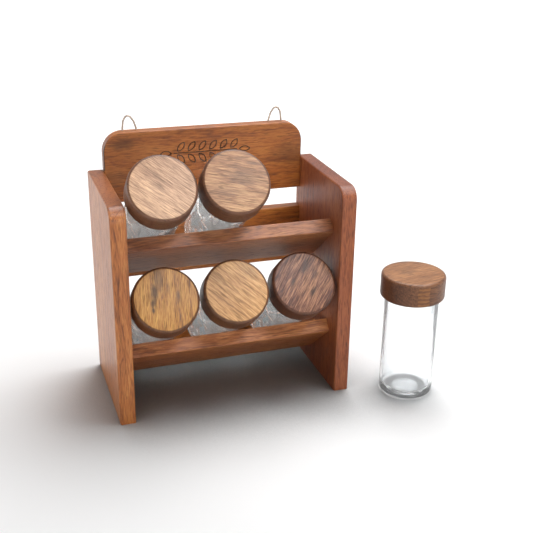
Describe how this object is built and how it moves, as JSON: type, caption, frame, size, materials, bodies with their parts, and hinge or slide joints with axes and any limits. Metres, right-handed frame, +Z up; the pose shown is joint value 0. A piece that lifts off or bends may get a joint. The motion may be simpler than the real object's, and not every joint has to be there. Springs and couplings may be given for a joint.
{
  "type": "spice rack",
  "caption": "Countertop or wall-hung wooden spice rack with two tiers of tilted glass jars, each with a turned wooden push-in lid.",
  "frame": {"origin": "on the floor, under the middle of the whole object's bounding box, the jar standing beside the rack included", "axes": "+Z up, -Y towards the front that the lids face, +X towards the standing jar, along the length of the rack"},
  "size_m": [0.2908, 0.1552, 0.2415],
  "materials": {
    "rack_wood": "oiled satin",
    "dowel_wood": "bare",
    "lid_wood": "oiled satin",
    "jar_glass": "clear polished",
    "stopper_plastic": "translucent",
    "seal_rubber": "soft",
    "loop_wire": "dull"
  },
  "bodies": {
    "rack": {"left_side_panel": "rack_wood", "right_side_panel": "rack_wood", "top_back_board": "rack_wood", "middle_back_board": "rack_wood", "lower_back_board": "rack_wood", "upper_slat": "rack_wood", "lower_slat": "rack_wood", "top_board_dowels": "dowel_wood", "middle_board_dowels": "dowel_wood", "lower_board_dowels": "dowel_wood", "upper_slat_dowels": "dowel_wood", "lower_slat_dowels": "dowel_wood", "hanging_loop_left": "loop_wire", "hanging_loop_right": "loop_wire"},
    "jar_1": {"glass_jar_1": "jar_glass"},
    "lid_1": {"wooden_lid_1": "lid_wood", "stopper_1": "stopper_plastic", "seal_ring_1": "seal_rubber"},
    "jar_2": {"glass_jar_2": "jar_glass"},
    "lid_2": {"wooden_lid_2": "lid_wood", "stopper_2": "stopper_plastic", "seal_ring_2": "seal_rubber"},
    "jar_3": {"glass_jar_3": "jar_glass"},
    "lid_3": {"wooden_lid_3": "lid_wood", "stopper_3": "stopper_plastic", "seal_ring_3": "seal_rubber"},
    "jar_4": {"glass_jar_4": "jar_glass"},
    "lid_4": {"wooden_lid_4": "lid_wood", "stopper_4": "stopper_plastic", "seal_ring_4": "seal_rubber"},
    "jar_5": {"glass_jar_5": "jar_glass"},
    "lid_5": {"wooden_lid_5": "lid_wood", "stopper_5": "stopper_plastic", "seal_ring_5": "seal_rubber"},
    "jar_6": {"glass_jar_6": "jar_glass"},
    "lid_6": {"wooden_lid_6": "lid_wood", "stopper_6": "stopper_plastic", "seal_ring_6": "seal_rubber"}
  },
  "joints": [
    {"name": "jar_1_pull", "type": "slide", "parent": "rack", "child": "jar_1", "axis": [0, -0.7771, 0.6293], "range_m": [0, 0.1]},
    {"name": "lid_1_pull", "type": "slide", "parent": "jar_1", "child": "lid_1", "axis": [0, -0.7771, 0.6293], "range_m": [0, 0.03]},
    {"name": "jar_2_pull", "type": "slide", "parent": "rack", "child": "jar_2", "axis": [0, -0.7771, 0.6293], "range_m": [0, 0.1]},
    {"name": "lid_2_pull", "type": "slide", "parent": "jar_2", "child": "lid_2", "axis": [0, -0.7771, 0.6293], "range_m": [0, 0.03]},
    {"name": "jar_3_pull", "type": "slide", "parent": "rack", "child": "jar_3", "axis": [0, -0.7771, 0.6293], "range_m": [0, 0.1]},
    {"name": "lid_3_pull", "type": "slide", "parent": "jar_3", "child": "lid_3", "axis": [0, -0.7771, 0.6293], "range_m": [0, 0.03]},
    {"name": "jar_4_pull", "type": "slide", "parent": "rack", "child": "jar_4", "axis": [0, -0.7771, 0.6293], "range_m": [0, 0.1]},
    {"name": "lid_4_pull", "type": "slide", "parent": "jar_4", "child": "lid_4", "axis": [0, -0.7771, 0.6293], "range_m": [0, 0.03]},
    {"name": "jar_5_pull", "type": "slide", "parent": "rack", "child": "jar_5", "axis": [0, -0.7771, 0.6293], "range_m": [0, 0.1]},
    {"name": "lid_5_pull", "type": "slide", "parent": "jar_5", "child": "lid_5", "axis": [0, -0.7771, 0.6293], "range_m": [0, 0.03]},
    {"name": "jar_6_lift", "type": "slide", "parent": "rack", "child": "jar_6", "axis": [0, 0, 1], "range_m": [0, 0.1]},
    {"name": "lid_6_pull", "type": "slide", "parent": "jar_6", "child": "lid_6", "axis": [0, 0, 1], "range_m": [0, 0.03]}
  ]
}
